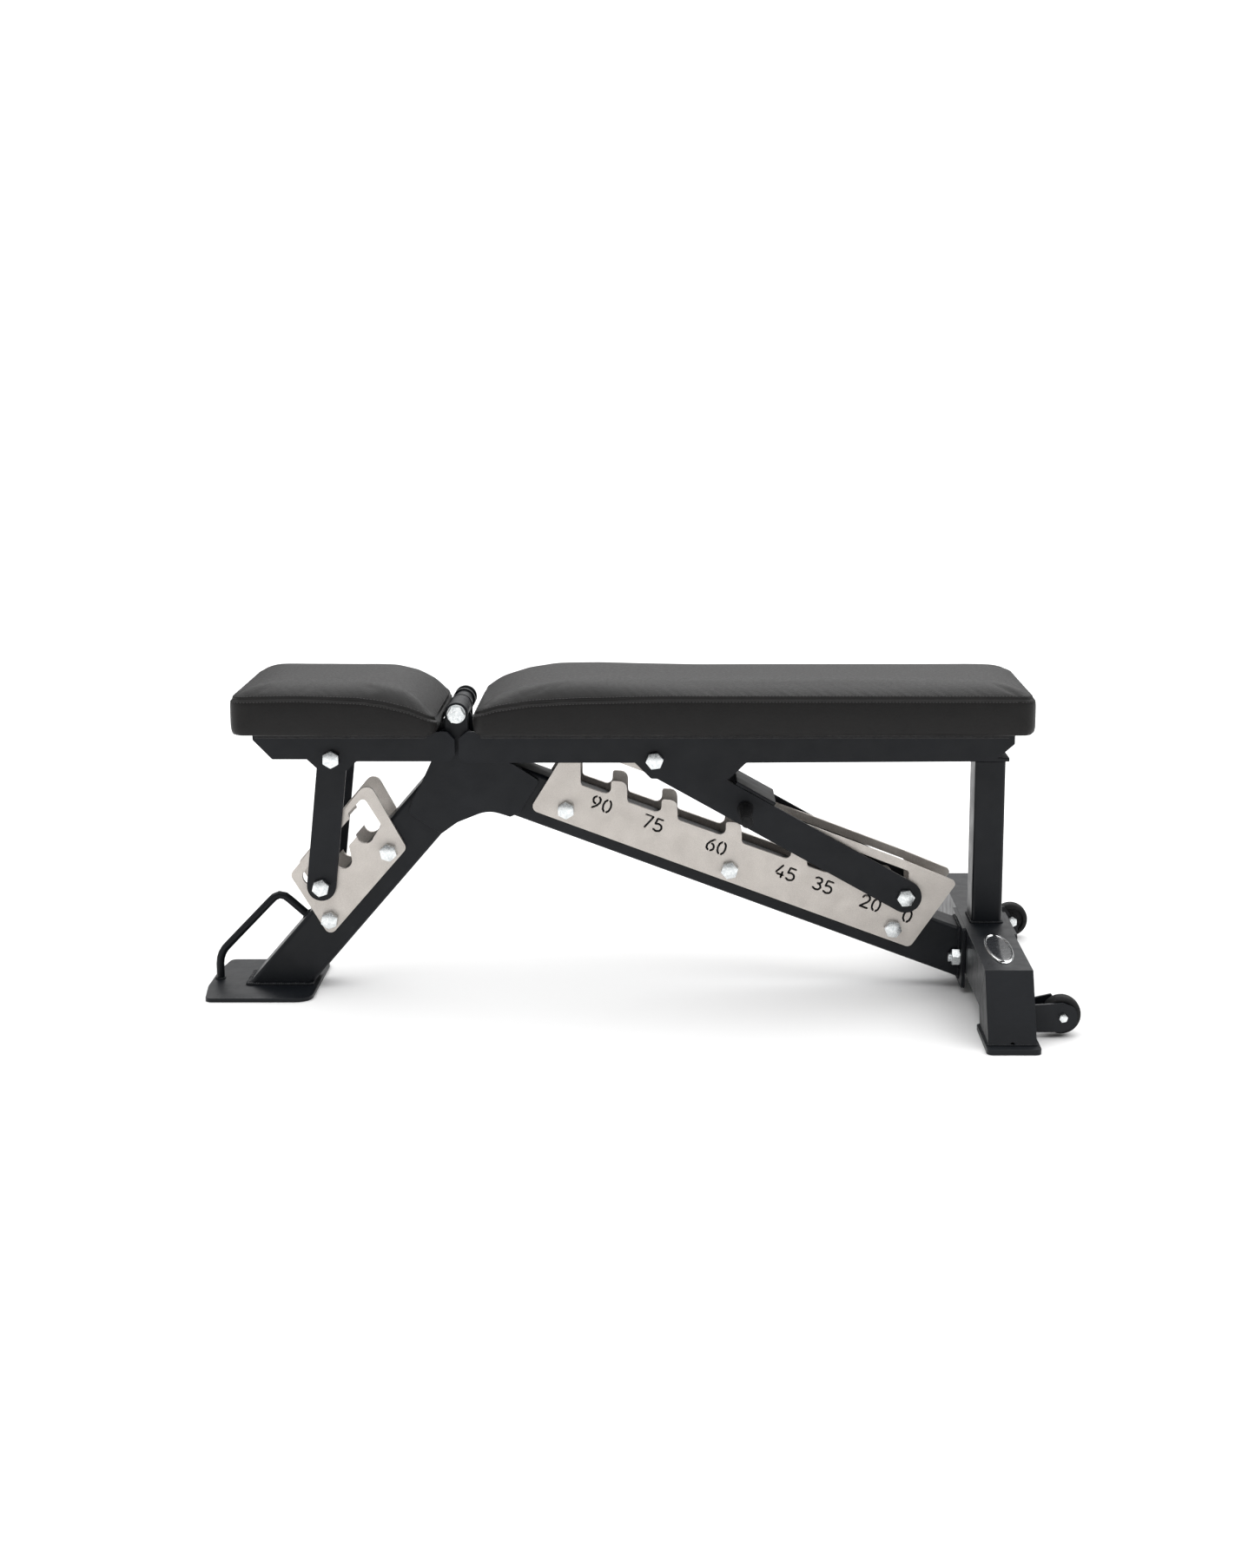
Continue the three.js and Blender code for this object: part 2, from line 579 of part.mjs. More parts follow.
function flanges() {
  const pts = outline([[-64, 8, 8], [64, 8, 8], [64, 98, 5], [-64, 98, 5]], 4);
  const along = (r, x0, x1, y, seg) => {
    const geo = new THREE.CylinderGeometry(r, r, x1 - x0, seg);
    geo.rotateZ(Math.PI / 2);
    geo.translate((x0 + x1) / 2, y, FLANGE_Z);
    return toSolid(geo);
  };
  const x0 = BEAM_END + GAP;
  const back = CROSS_X + CROSS_W / 2 + GAP;
  const holes = [-FLANGE_Y, FLANGE_Y].map((y) => along(BOLT_R + HOLE, 440, 570, y, 14));
  add('beam_flange', cut(frontal(pts, x0, x0 + 5.3), ...holes), 'powder_coat');
  const clamp = outline([[-68, 12, 6], [68, 12, 6], [68, 90, 6], [-68, 90, 6]], 3);
  add('clamp_plate', cut(frontal(clamp, back, back + 8), ...holes), 'powder_coat');
  SIDES.forEach(([word, side]) => {
    const y = side * FLANGE_Y;
    const face = x0 - GAP;
    const rear = back + 8 + GAP;
    add(`flange_bolt_${word}`, join(
      along(BOLT_R, face - 18, rear + 1, y, 12),
      along(13.5, face - 2, face, y, 18),
      along(HEX_AF / Math.sqrt(3), face - 13, face - 2, y, 6),
      along(HEX_AF / Math.sqrt(3), rear, rear + 9, y, 6),
    ), 'zinc');
  });
}

function wheels() {
  const [wx, wz] = WHEEL;
  const x0 = CROSS_X + CROSS_W / 2 + GAP;
  SIDES.forEach(([word, side]) => {
    const out = WHEEL_Y + WHEEL_W / 2;
    const cheek = slab(outline([[x0, 8.6, 0], [wx, 8.6, 0], [wx + 19.5, wz - 12, 14], [wx + 19.5, wz + 12, 14],
      [wx, wz + 19.5, 0], [x0, wz + 17, 0]], 6), ...span(side, out + 1, out + 6));
    const inner = WHEEL_Y - WHEEL_W / 2 - 5;
    const web = box(x0, x0 + 5, side * inner, side * (out + 6), 9, wz + 17);
    const arm = slab([
      [x0, wz + 5], [wx - 13, wz + 1], [wx - 4, 8.6], [wx + 9, 8.6], [wx + 11, wz - 7], [wx - 12, wz + 24],
      [x0, wz + 17],
    ].map((p) => new THREE.Vector2(...p)), ...span(side, inner, inner + 4));
    const body = cut(join(cheek, web, arm), bore(WHEEL, 400, 5 + HOLE));
    add(`wheel_bracket_${word}`, body, 'powder_coat');
    const w = WHEEL_W / 2;
    const c = side * WHEEL_Y;
    const tyre = turned(WHEEL, [
      [5 + HOLE, c - w], [11, c - w], [12, c - w + 2], [19, c - w + 2], [20, c - w],
      [WHEEL_R - 3, c - w], [WHEEL_R, c - w + 4], [WHEEL_R, c + w - 4], [WHEEL_R - 3, c + w], [20, c + w],
      [19, c + w - 2], [12, c + w - 2], [11, c + w], [5 + HOLE, c + w], [5 + HOLE, c - w],
    ], 28);
    add(`wheel_${word}`, tyre, 'rubber');
    const axle = join(
      rod(WHEEL, 5, side * (WHEEL_Y - w - 12), side * (out + 8), 16),
      hex(WHEEL, side * (out + 6 + GAP), side * (out + 12), 0.3, 15),
      hex(WHEEL, side * (WHEEL_Y - w - 11), side * (WHEEL_Y - w - 5.3), 0.3, 15),
    );
    add(`wheel_axle_${word}`, axle, 'zinc');
  });
}

// ---- seat and backrest ---------------------------------------------------------------
// knuckle barrel on the hinge with an arm plate under the pad
function knuckle(yMid, half, corners) {
  const barrel = rod(HINGE, EAR_R - 1, yMid - half, yMid + half, 32);
  const arm = slab(outline(corners, 5), yMid - 4, yMid + 4);
  return cut(join(barrel, arm), bore(HINGE, 80, 8 + HOLE));
}

// padded block: rounded plan and a crowned side profile
function pad(name, profile, x0, x1) {
  const side = slab(outline(profile, 6), -PAD_HALF, PAD_HALF);
  const r = 22;
  const w = PAD_HALF;
  const top = plan(outline([[x0, -w, r], [x1, -w, r], [x1, w, r], [x0, w, r]], 6), PAD_Z, PAD_Z + 90);
  const chamfer = (sign) => {
    const geo = new THREE.ExtrudeGeometry(new THREE.Shape([
      new THREE.Vector2(sign * (w - 14), PAD_Z + 64), new THREE.Vector2(sign * (w + 2), PAD_Z + 52),
      new THREE.Vector2(sign * (w + 2), PAD_Z + 90), new THREE.Vector2(sign * (w - 14), PAD_Z + 90),
    ]), { depth: 1400, bevelEnabled: false });
    geo.rotateX(Math.PI / 2);
    geo.rotateZ(Math.PI / 2);
    geo.translate(-700, 0, 0);
    return toSolid(geo);
  };
  add(name, cut(side.intersect(top), chamfer(-1), chamfer(1)), 'vinyl');
}

function seat() {
  const [hx, hz] = HINGE;
  const ear = [
    [-535, FRAME_TOP, 0], [-535, 372, 3], [-508, 344, 3], [-459, 344, 2], [-442, 328, 2], [-402, 328, 2],
    [-389, 341, 6], [-257, 341, 0], [-249, 350, 3], [-249, 372, 3], [-260, FRAME_TOP, 3],
  ];
  SIDES.forEach(([word, side]) => {
    const [y0, y1] = span(side, SIDE_IN, SIDE_OUT);
    add(`seat_side_${word}`, cut(slab(outline(ear, 4), y0, y1), bore(SEAT_PIVOT)), 'powder_coat');
  });
  const x0 = -522;
  const x1 = hx - 36;
  add('seat_board', box(x0, x1, -112, 112, PAD_Z - BOARD_T - GAP, PAD_Z - GAP), 'backing');
  pad('seat_pad', [
    [-554, PAD_Z, 6], [-270, PAD_Z, 5], [-268, hz + 5, 5], [-292, hz + 27, 12], [-330, 452, 40], [-536, 454, 16],
    [-554, 440, 12],
  ], -554, -267);
  const arm = [[hx + 9, hz - 9, 0], [hx - 9, hz + 9, 0], [hx - 26, 384.6, 4], [hx - 27, 383, 0],
    [-340, FRAME_TOP, 0], [-340, 360, 3], [-288, 357, 12]];
  const tie = box(-352, -336, -SIDE_IN + GAP, SIDE_IN - GAP, 359, FRAME_TOP);
  add('seat_hinge', join(knuckle(-23.6, 10.8, arm), knuckle(23.6, 10.8, arm), tie), 'powder_coat');
  add('seat_pivot_bolt', throughBolt(SEAT_PIVOT, SIDE_OUT, 0.5), 'zinc');
}

function back() {
  const [hx, hz] = HINGE;
  const sides = [
    [-232, FRAME_TOP, 3], [-243, 374, 3], [-244, 348, 3], [-235, 339, 3], [6, 339, 3], [29, 316, 4],
    [139, 315, 4], [164, 339, 4], [515, 341, 3], [544, 366, 3], [544, FRAME_TOP, 0],
  ];
  SIDES.forEach(([word, side]) => {
    const [y0, y1] = span(side, SIDE_IN, SIDE_OUT);
    add(`back_side_${word}`, cut(slab(outline(sides, 4), y0, y1), bore(BACK_PIVOT)), 'powder_coat');
  });
  add('back_board', box(hx + 40, 528, -112, 112, PAD_Z - BOARD_T - GAP, PAD_Z - GAP), 'backing');
  pad('back_pad', [
    [-217, PAD_Z, 6], [563, PAD_Z, 6], [563, 440, 12], [540, 454, 16], [-125, 453.5, 60], [-190, hz + 28, 14],
    [-217, hz + 13, 6],
  ], -217, 563);
  add('back_rest_plate', box(488, 538, -SIDE_IN + GAP, SIDE_IN - GAP, POST_TOP + 4 + GAP, POST_TOP + 10),
    'powder_coat');
  const arm = [[hx - 9, hz - 9, 0], [-212, 358, 12], [-162, 362, 3], [-162, FRAME_TOP, 0], [hx + 27, 383, 0],
    [hx + 26, 384.6, 4], [hx + 9, hz + 9, 0]];
  const tie = box(-166, -150, -SIDE_IN + GAP, SIDE_IN - GAP, 376, FRAME_TOP);
  add('back_hinge', join(knuckle(0, 12.4, arm), tie), 'powder_coat');
  add('back_pivot_bolt', throughBolt(BACK_PIVOT, SIDE_OUT, 0.15), 'zinc');
}

// ---- prop struts ----------------------------------------------------------------------
function seatStrut() {
  SIDES.forEach(([word, side]) => {
    const [y0, y1] = span(side, STRUT_IN, STRUT_OUT);
    const bar = cut(slab(link(SEAT_PIVOT, 21, SEAT_PIN, 20.9, 12), y0, y1), bore(SEAT_PIVOT), bore(SEAT_PIN));
    add(`seat_strut_${word}`, bar, 'powder_coat');
    add(`seat_strut_bolt_${word}`, plateBolt(SEAT_PIN, side, STRUT_IN, STRUT_OUT, 0.3), 'zinc');
  });
}

function backStrut() {
  const dir = [BACK_PIN[0] - BACK_PIVOT[0], BACK_PIN[1] - BACK_PIVOT[1]];
  const len = Math.hypot(...dir);
  const u = [dir[0] / len, dir[1] / len];
  const at = (t, off) => [BACK_PIVOT[0] + u[0] * t - u[1] * off, BACK_PIVOT[1] + u[1] * t + u[0] * off];
  const half = 23.5;
  const grip = at(148, 0);
  SIDES.forEach(([word, side]) => {
    const [y0, y1] = span(side, STRUT_IN, STRUT_OUT);
    const bar = cut(slab(link(BACK_PIVOT, half, BACK_PIN, half - 0.1, 12), y0, y1), bore(BACK_PIVOT),
      bore(BACK_PIN), ...(side < 0 ? [bore(grip)] : []));
    add(`back_strut_${word}`, bar, 'powder_coat');
    add(`back_strut_bolt_${word}`, plateBolt(BACK_PIN, side, STRUT_IN, STRUT_OUT, 0.1), 'zinc');
  });
  const bridge = [at(118, half + GAP), at(182, half + GAP), at(182, half + GAP + 5), at(118, half + GAP + 5)];
  add('strut_bridge', slab(bridge.map((p) => new THREE.Vector2(...p)), -STRUT_OUT, STRUT_OUT), 'powder_coat');
  const y = -STRUT_OUT - GAP;
  add('strut_handle', turned(grip, [
    [0, -STRUT_IN], [BOLT_R, -STRUT_IN], [BOLT_R, y], [11, y], [11, y - 7], [8.5, y - 9], [8.5, -143],
    [6.5, -145], [0, -145],
  ].reverse(), 24), 'rubber');
}

frontFoot();
frontHandle();
frontLeg();
rearBeam();
gussets();
hingePin();
flanges();
rearFoot();
wheels();
backLadders();
seatLadders();
seat();
back();
seatStrut();
backStrut();

export default group;
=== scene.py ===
# %% [markdown]
# An adjustable weight bench
#
# The bench has two upholstered pads that share one hinge, a frame of square tube, two
# pairs of notched ladder plates and two pairs of prop struts. Everything hard already has
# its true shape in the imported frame, so here it gets its paint, plating and softened edges.
# The pads, bolts, wheels, welds, grip and badge are made again in finer detail.

import json
import math

import bmesh
import bpy
from mathutils import Matrix, Vector
from mathutils.bvhtree import BVHTree


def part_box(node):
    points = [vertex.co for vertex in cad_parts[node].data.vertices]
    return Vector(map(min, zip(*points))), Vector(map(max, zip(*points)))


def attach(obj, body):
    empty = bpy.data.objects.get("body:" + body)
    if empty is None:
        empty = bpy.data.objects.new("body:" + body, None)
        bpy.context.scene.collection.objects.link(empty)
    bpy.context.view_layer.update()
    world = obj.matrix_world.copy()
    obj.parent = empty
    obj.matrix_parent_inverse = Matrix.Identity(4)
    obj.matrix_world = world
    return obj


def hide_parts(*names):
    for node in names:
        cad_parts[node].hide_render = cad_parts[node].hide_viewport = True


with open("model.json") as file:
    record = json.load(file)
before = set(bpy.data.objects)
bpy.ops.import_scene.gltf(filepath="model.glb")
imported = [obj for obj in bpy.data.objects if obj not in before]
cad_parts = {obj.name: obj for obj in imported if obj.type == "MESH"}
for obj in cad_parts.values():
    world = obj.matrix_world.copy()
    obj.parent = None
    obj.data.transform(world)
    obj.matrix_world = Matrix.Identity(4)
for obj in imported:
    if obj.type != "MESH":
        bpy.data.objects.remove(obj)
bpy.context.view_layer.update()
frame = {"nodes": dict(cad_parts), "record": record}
parts = frame["nodes"]

# %% [markdown]
# The camera
#
# It stands 3.4 m in front of the bench, a little under a metre up, and tilts down 11
# degrees. A long lens keeps the upright lines nearly parallel. The small sideways shift
# frames the bench without turning the camera, which would tilt its level lines.

# %% Camera
eye = bpy.data.cameras.new("eye")
eye.sensor_width = 36
eye.lens = 54.82
eye.shift_x = -0.0335
camera = bpy.data.objects.new("eye", eye)
CAMERA_TILT = 11.37
camera.location = (0.070, -3.38219, 0.97706)
camera.rotation_euler = (math.radians(90 - CAMERA_TILT), 0, 0)
bpy.context.scene.collection.objects.link(camera)
bpy.context.scene.camera = camera

# %% [markdown]
# Floor and light
#
# The bench stands in a white studio lit from above and behind, so its tops are grey and the
# sides that face the viewer stay nearly black. A very soft sun straight overhead lights the
# floor evenly to its far edge, a dim surround fills the sides, and two panels draw bright
# lines along edges. The backdrop is bright only where it is looked at directly.

# %% Floor and lights
bm = bmesh.new()
bmesh.ops.create_grid(bm, x_segments=2, y_segments=2, size=30)
sheet = bpy.data.meshes.new("studio_floor")
bm.to_mesh(sheet)
bm.free()
studio_floor = bpy.data.objects.new("studio_floor", sheet)
bpy.context.scene.collection.objects.link(studio_floor)
pale = bpy.data.materials.new("pale_floor")
pale.use_nodes = True
pale_shader = pale.node_tree.nodes["Principled BSDF"]
pale_shader.inputs["Base Color"].default_value = (0.98, 0.98, 0.98, 1)
pale_shader.inputs["Roughness"].default_value = 0.9
pale_shader.inputs["Specular IOR Level"].default_value = 0.1
sheet.materials.append(pale)

world = bpy.data.worlds.new("studio")
bpy.context.scene.world = world
world.use_nodes = True
surround = world.node_tree.nodes["Background"]
surround.inputs["Color"].default_value = (1, 1, 1, 1)
surround.inputs["Strength"].default_value = 0.27
backdrop = world.node_tree.nodes.new("ShaderNodeBackground")
backdrop.inputs["Color"].default_value = (1, 1, 1, 1)
backdrop.inputs["Strength"].default_value = 1.4
seen = world.node_tree.nodes.new("ShaderNodeLightPath")
choose = world.node_tree.nodes.new("ShaderNodeMixShader")
world_out = world.node_tree.nodes["World Output"]
world.node_tree.links.new(seen.outputs["Is Camera Ray"], choose.inputs[0])
world.node_tree.links.new(surround.outputs[0], choose.inputs[1])
world.node_tree.links.new(backdrop.outputs[0], choose.inputs[2])
world.node_tree.links.new(choose.outputs[0], world_out.inputs["Surface"])
bpy.context.scene.view_settings.view_transform = "Standard"

above = bpy.data.lights.new("skylight", "SUN")
above.energy = 3.9
above.angle = math.radians(115)
skylight = bpy.data.objects.new("skylight", above)
skylight.rotation_euler = (math.radians(-12), math.radians(6), 0)
bpy.context.scene.collection.objects.link(skylight)


def panel(name, at, aim, size, power):
    """A soft square light at one place, pointing at another."""
    lamp = bpy.data.lights.new(name, "AREA")
    lamp.shape = "RECTANGLE"
    lamp.size, lamp.size_y = size
    lamp.energy = power
    holder = bpy.data.objects.new(name, lamp)
    holder.location = at
    holder.rotation_euler = (Vector(aim) - Vector(at)).to_track_quat("-Z", "Y").to_euler()
    bpy.context.scene.collection.objects.link(holder)


panel("left_fill", (-2.9, -0.6, 0.9), (0, 0, 0.25), (1.2, 1.6), 5)
panel("rear_glow", (0.3, 2.6, 1.7), (0, 0, 0.35), (3.0, 1.0), 5)

# %% [markdown]
# Finishes
#
# Each finish is one Principled shader with its own small variations. A helper sets the plain
# values on the shader, and three more add the things real surfaces have: a colour that drifts,
# a roughness that drifts, and relief. All of them read Object coordinates, which are metres
# here, so a scale of 800 means marks a little over a millimetre apart.


# %% Helpers for finishes
def finish(name, colour, rough, metal=0.0, **extra):
    made = bpy.data.materials.new(name)
    made.use_nodes = True
    made.diffuse_color = (*colour, 1)
    shader = made.node_tree.nodes["Principled BSDF"]
    shader.inputs["Base Color"].default_value = (*colour, 1)
    shader.inputs["Roughness"].default_value = rough
    shader.inputs["Metallic"].default_value = metal
    for key, value in extra.items():
        shader.inputs[key.replace("_", " ")].default_value = value
    return made


def add_node(made, kind, **values):
    new = made.node_tree.nodes.new(kind)
    for key, value in values.items():
        setattr(new, key, value)
    return new


def coordinates(made, stretch=(1, 1, 1)):
    where = add_node(made, "ShaderNodeTexCoord")
    sized = add_node(made, "ShaderNodeMapping")
    sized.inputs["Scale"].default_value = stretch
    made.node_tree.links.new(where.outputs["Object"], sized.inputs["Vector"])
    return sized.outputs["Vector"]


def mottle(made, scale, detail=3, stretch=(1, 1, 1)):
    """A cloudy number from 0 to 1."""
    cloud = add_node(made, "ShaderNodeTexNoise")
    cloud.inputs["Scale"].default_value = scale
    cloud.inputs["Detail"].default_value = detail
    made.node_tree.links.new(coordinates(made, stretch), cloud.inputs["Vector"])
    return cloud.outputs["Fac"]


def spread(made, number, low, high, start=0.3, end=0.7):
    """The same number, stretched to run from low to high."""
    ranged = add_node(made, "ShaderNodeMapRange")
    ranged.inputs["From Min"].default_value = start
    ranged.inputs["From Max"].default_value = end
    ranged.inputs["To Min"].default_value = low
    ranged.inputs["To Max"].default_value = high
    made.node_tree.links.new(number, ranged.inputs["Value"])
    return ranged.outputs["Result"]


def drift_colour(made, number, first, second, start=0.3, end=0.7):
    ramp = add_node(made, "ShaderNodeValToRGB")
    ramp.color_ramp.elements[0].position = start
    ramp.color_ramp.elements[0].color = (*first, 1)
    ramp.color_ramp.elements[1].position = end
    ramp.color_ramp.elements[1].color = (*second, 1)
    shader = made.node_tree.nodes["Principled BSDF"]
    made.node_tree.links.new(number, ramp.inputs["Fac"])
    made.node_tree.links.new(ramp.outputs["Color"], shader.inputs["Base Color"])


def drift_rough(made, number, low, high):
    shader = made.node_tree.nodes["Principled BSDF"]
    made.node_tree.links.new(spread(made, number, low, high), shader.inputs["Roughness"])


def relief(made, number, strength, depth):
    """Bumps from a number, laid over any bumps the finish already has."""
    shader = made.node_tree.nodes["Principled BSDF"]
    bump = add_node(made, "ShaderNodeBump")
    bump.inputs["Strength"].default_value = strength
    bump.inputs["Distance"].default_value = depth
    under = shader.inputs["Normal"].links
    if under:
        made.node_tree.links.new(under[0].from_socket, bump.inputs["Normal"])
    made.node_tree.links.new(number, bump.inputs["Height"])
    made.node_tree.links.new(bump.outputs["Normal"], shader.inputs["Normal"])


# %% [markdown]
# Powder coat
#
# The frame is baked powder: near-black with a blue cast, slightly glossy, with the fine
# orange-peel ripple that the powder keeps as it melts. Two scales of ripple and a slow
# change in gloss keep large faces from looking like plastic.

# %% Powder coat
powder = finish("powder_coat", (0.006, 0.0075, 0.010), 0.42, Specular_IOR_Level=0.24)
drift_colour(powder, mottle(powder, 9), (0.0045, 0.0056, 0.0075), (0.0075, 0.009, 0.012))
drift_rough(powder, mottle(powder, 40, 4), 0.34, 0.46)
relief(powder, mottle(powder, 700, 2), 0.22, 0.0004)
relief(powder, mottle(powder, 120, 2), 0.10, 0.0012)

# %% [markdown]
# Ladder plates
#
# These plates carry a warm silver metallic coat over rolled steel. The coat is a fine
# grain of metal flake, so the colour sparkles a little and the gloss is broken up.

# %% Silver coat
silver = finish("silver_coat", (0.58, 0.54, 0.50), 0.42, 0.75)
drift_colour(silver, mottle(silver, 1400, 2), (0.50, 0.465, 0.43), (0.66, 0.62, 0.58), 0.35, 0.65)
drift_rough(silver, mottle(silver, 60, 4), 0.36, 0.5)
relief(silver, mottle(silver, 1500, 2), 0.12, 0.0003)

# %% [markdown]
# Plated and polished metal
#
# Bolts are bright zinc, mottled by its crystals. The badge rim is chrome, which is only a
# little duller where it has been handled.

# %% Zinc and chrome
zinc = finish("bright_zinc", (0.80, 0.82, 0.82), 0.28, 1.0)
drift_colour(zinc, mottle(zinc, 260, 5), (0.62, 0.65, 0.66), (0.90, 0.92, 0.92))
drift_rough(zinc, mottle(zinc, 420, 4), 0.2, 0.42)
relief(zinc, mottle(zinc, 900, 3), 0.1, 0.0003)
chrome = finish("chrome_rim", (0.86, 0.87, 0.88), 0.1, 1.0)
drift_rough(chrome, mottle(chrome, 90, 3), 0.07, 0.17)
relief(chrome, mottle(chrome, 400, 2), 0.04, 0.0002)

# %% [markdown]
# Rubber, inlay and backing cloth
#
# Rubber is dull and slightly speckled. The badge's middle is a dark enamel with no
# lettering. The boards under the pads are wrapped in a coarse black backing cloth.

# %% Rubber, inlay and backing cloth
rubber = finish("black_rubber", (0.008, 0.0082, 0.0088), 0.7, Specular_IOR_Level=0.25)
drift_colour(rubber, mottle(rubber, 60, 4), (0.006, 0.0062, 0.0068), (0.011, 0.0113, 0.012))
drift_rough(rubber, mottle(rubber, 200, 3), 0.55, 0.78)
relief(rubber, mottle(rubber, 1100, 3), 0.25, 0.0004)
enamel = finish("dark_enamel", (0.03, 0.032, 0.036), 0.22, 0.0, Coat_Weight=0.6)
drift_rough(enamel, mottle(enamel, 150, 3), 0.18, 0.3)
relief(enamel, mottle(enamel, 500, 2), 0.1, 0.0003)
backing = finish("backing_cloth", (0.016, 0.016, 0.017), 0.9)
drift_colour(backing, mottle(backing, 300, 4, (1, 0.15, 1)), (0.012, 0.012, 0.013), (0.026, 0.026, 0.027))
drift_rough(backing, mottle(backing, 90, 3), 0.8, 0.95)
relief(backing, mottle(backing, 1100, 2, (1, 0.2, 1)), 0.4, 0.0003)
relief(backing, mottle(backing, 1100, 2, (0.2, 1, 1)), 0.4, 0.0003)

# %% [markdown]
# Leatherette
#
# The cover is black leatherette, embossed with small rounded pebbles. Cell noise gives
# the creases between pebbles, a finer cloud breaks them up, and another varies the gloss. A
# number stored on the pads, the distance to the seam, presses the material in along the
# stitching.

# %% Leatherette
vinyl = finish("leatherette", (0.0095, 0.009, 0.009), 0.45, Specular_IOR_Level=0.2)
drift_colour(vinyl, mottle(vinyl, 30, 4), (0.0088, 0.0084, 0.0083), (0.0106, 0.0101, 0.0099))
drift_rough(vinyl, mottle(vinyl, 240, 4), 0.42, 0.5)
pebbles = add_node(vinyl, "ShaderNodeTexVoronoi", feature="SMOOTH_F1")
pebbles.inputs["Scale"].default_value = 620
pebbles.inputs["Smoothness"].default_value = 0.35
vinyl.node_tree.links.new(coordinates(vinyl), pebbles.inputs["Vector"])
relief(vinyl, spread(vinyl, pebbles.outputs["Distance"], 1, 0, 0.1, 0.8), 0.35, 0.0004)
relief(vinyl, mottle(vinyl, 1500, 3), 0.12, 0.0003)
by_seam = add_node(vinyl, "ShaderNodeAttribute", attribute_name="seam")
relief(vinyl, spread(vinyl, by_seam.outputs["Fac"], 0, 1, 0.0, 0.0030), 0.9, 0.0014)
thread = finish("thread", (0.035, 0.034, 0.034), 0.6)
drift_rough(thread, mottle(thread, 900, 2), 0.5, 0.7)
relief(thread, mottle(thread, 2500, 1), 0.3, 0.0002)

# %% [markdown]
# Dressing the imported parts
#
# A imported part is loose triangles, all dead sharp. Four modifiers turn it into a part that
# takes light like a real one: Weld joins the triangles, Decimate in planar mode dissolves
# them back into whole faces, Bevel rounds the edges by a fraction of a millimetre, and
# Weighted Normal keeps the large faces flat between them.

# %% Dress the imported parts
by_slot = {
    "powder_coat": powder,
    "steel_plate": silver,
    "zinc": zinc,
    "vinyl": vinyl,
    "rubber": rubber,
    "backing": backing,
    "chrome": chrome,
}
slot_of = {s["node"]: s["material_slot"] for s in frame["record"]["subparts"]}


def soften(obj, width, segments=2):
    weld = obj.modifiers.new("weld", "WELD")
    weld.merge_threshold = 0.00002
    flat = obj.modifiers.new("planar", "DECIMATE")
    flat.decimate_type = "DISSOLVE"
    flat.angle_limit = math.radians(1.5)
    edge = obj.modifiers.new("edge", "BEVEL")
    edge.width = width
    edge.segments = segments
    edge.limit_method = "ANGLE"
    edge.angle_limit = math.radians(32)
    edge.miter_outer = "MITER_ARC"
    obj.modifiers.new("normals", "WEIGHTED_NORMAL").keep_sharp = True


for name, obj in parts.items():
    obj.data.materials.clear()
    obj.data.materials.append(by_slot[slot_of[name]])
    for face in obj.data.polygons:
        face.use_smooth = True
    big = name in ("front_leg", "rear_beam", "cross_tube", "foot_leg_near", "foot_leg_far")
    soften(obj, 0.0022 if big else 0.0009, 3 if big else 2)
print(len(parts), "packed parts dressed")

# %% [markdown]
# Making a piece
#
# Every new piece is a bmesh built round the origin, then moved to its place, so that the
# finished object itself stays at the origin. These helpers place a shape, turn a profile
# round an axis, and turn the bmesh into an object that rides on its body.


# %% Helpers for pieces
def facing(at, along, turn=0.0):
    """Puts a shape made round Z at a place, with its Z along a direction."""
    swing = Vector(along).to_track_quat("Z", "Y").to_matrix().to_4x4()
    return Matrix.Translation(at) @ swing @ Matrix.Rotation(turn, 4, "Z")


def lathe(bm, profile, place, steps=48):
    """Turns a profile of (radius, height) pairs round Z."""
    dots = [bm.verts.new((r, 0, z)) for r, z in profile]
    lines = [bm.edges.new(pair) for pair in zip(dots, dots[1:])]
    bmesh.ops.spin(
        bm, geom=dots + lines, cent=(0, 0, 0), axis=(0, 0, 1), angle=math.tau,
        steps=steps, use_merge=True,
    )
    bmesh.ops.remove_doubles(bm, verts=[v for v in bm.verts if not v.tag], dist=1e-6)
    fresh = [v for v in bm.verts if not v.tag]
    bmesh.ops.transform(bm, matrix=place, verts=fresh)
    for v in fresh:
        v.tag = True


def piece(name, bm, coat, body, stands_for=(), smooth=True):
    bmesh.ops.recalc_face_normals(bm, faces=bm.faces[:])
    mesh = bpy.data.meshes.new(name)
    bm.to_mesh(mesh)
    bm.free()
    mesh.materials.append(coat)
    for face in mesh.polygons:
        face.use_smooth = smooth
    obj = bpy.data.objects.new(name, mesh)
    bpy.context.scene.collection.objects.link(obj)
    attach(obj, body)
    if stands_for:
        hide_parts(*stands_for)
    print(name, len(mesh.polygons), "faces")
    return obj


def by_angle(obj, degrees=35):
    obj.data.set_sharp_from_angle(angle=math.radians(degrees))
    return obj


# %% [markdown]
# Bolts
#
# A real bolt head is a hexagon whose corners are cut back by a cone, which leaves a curved
# line on each flat. The head here starts as a 48-sided disc. Each rim point moves out to the
# hexagon and drops where the cone would cut it. Washers have rounded rims, and the stud's
# end shows its thread.


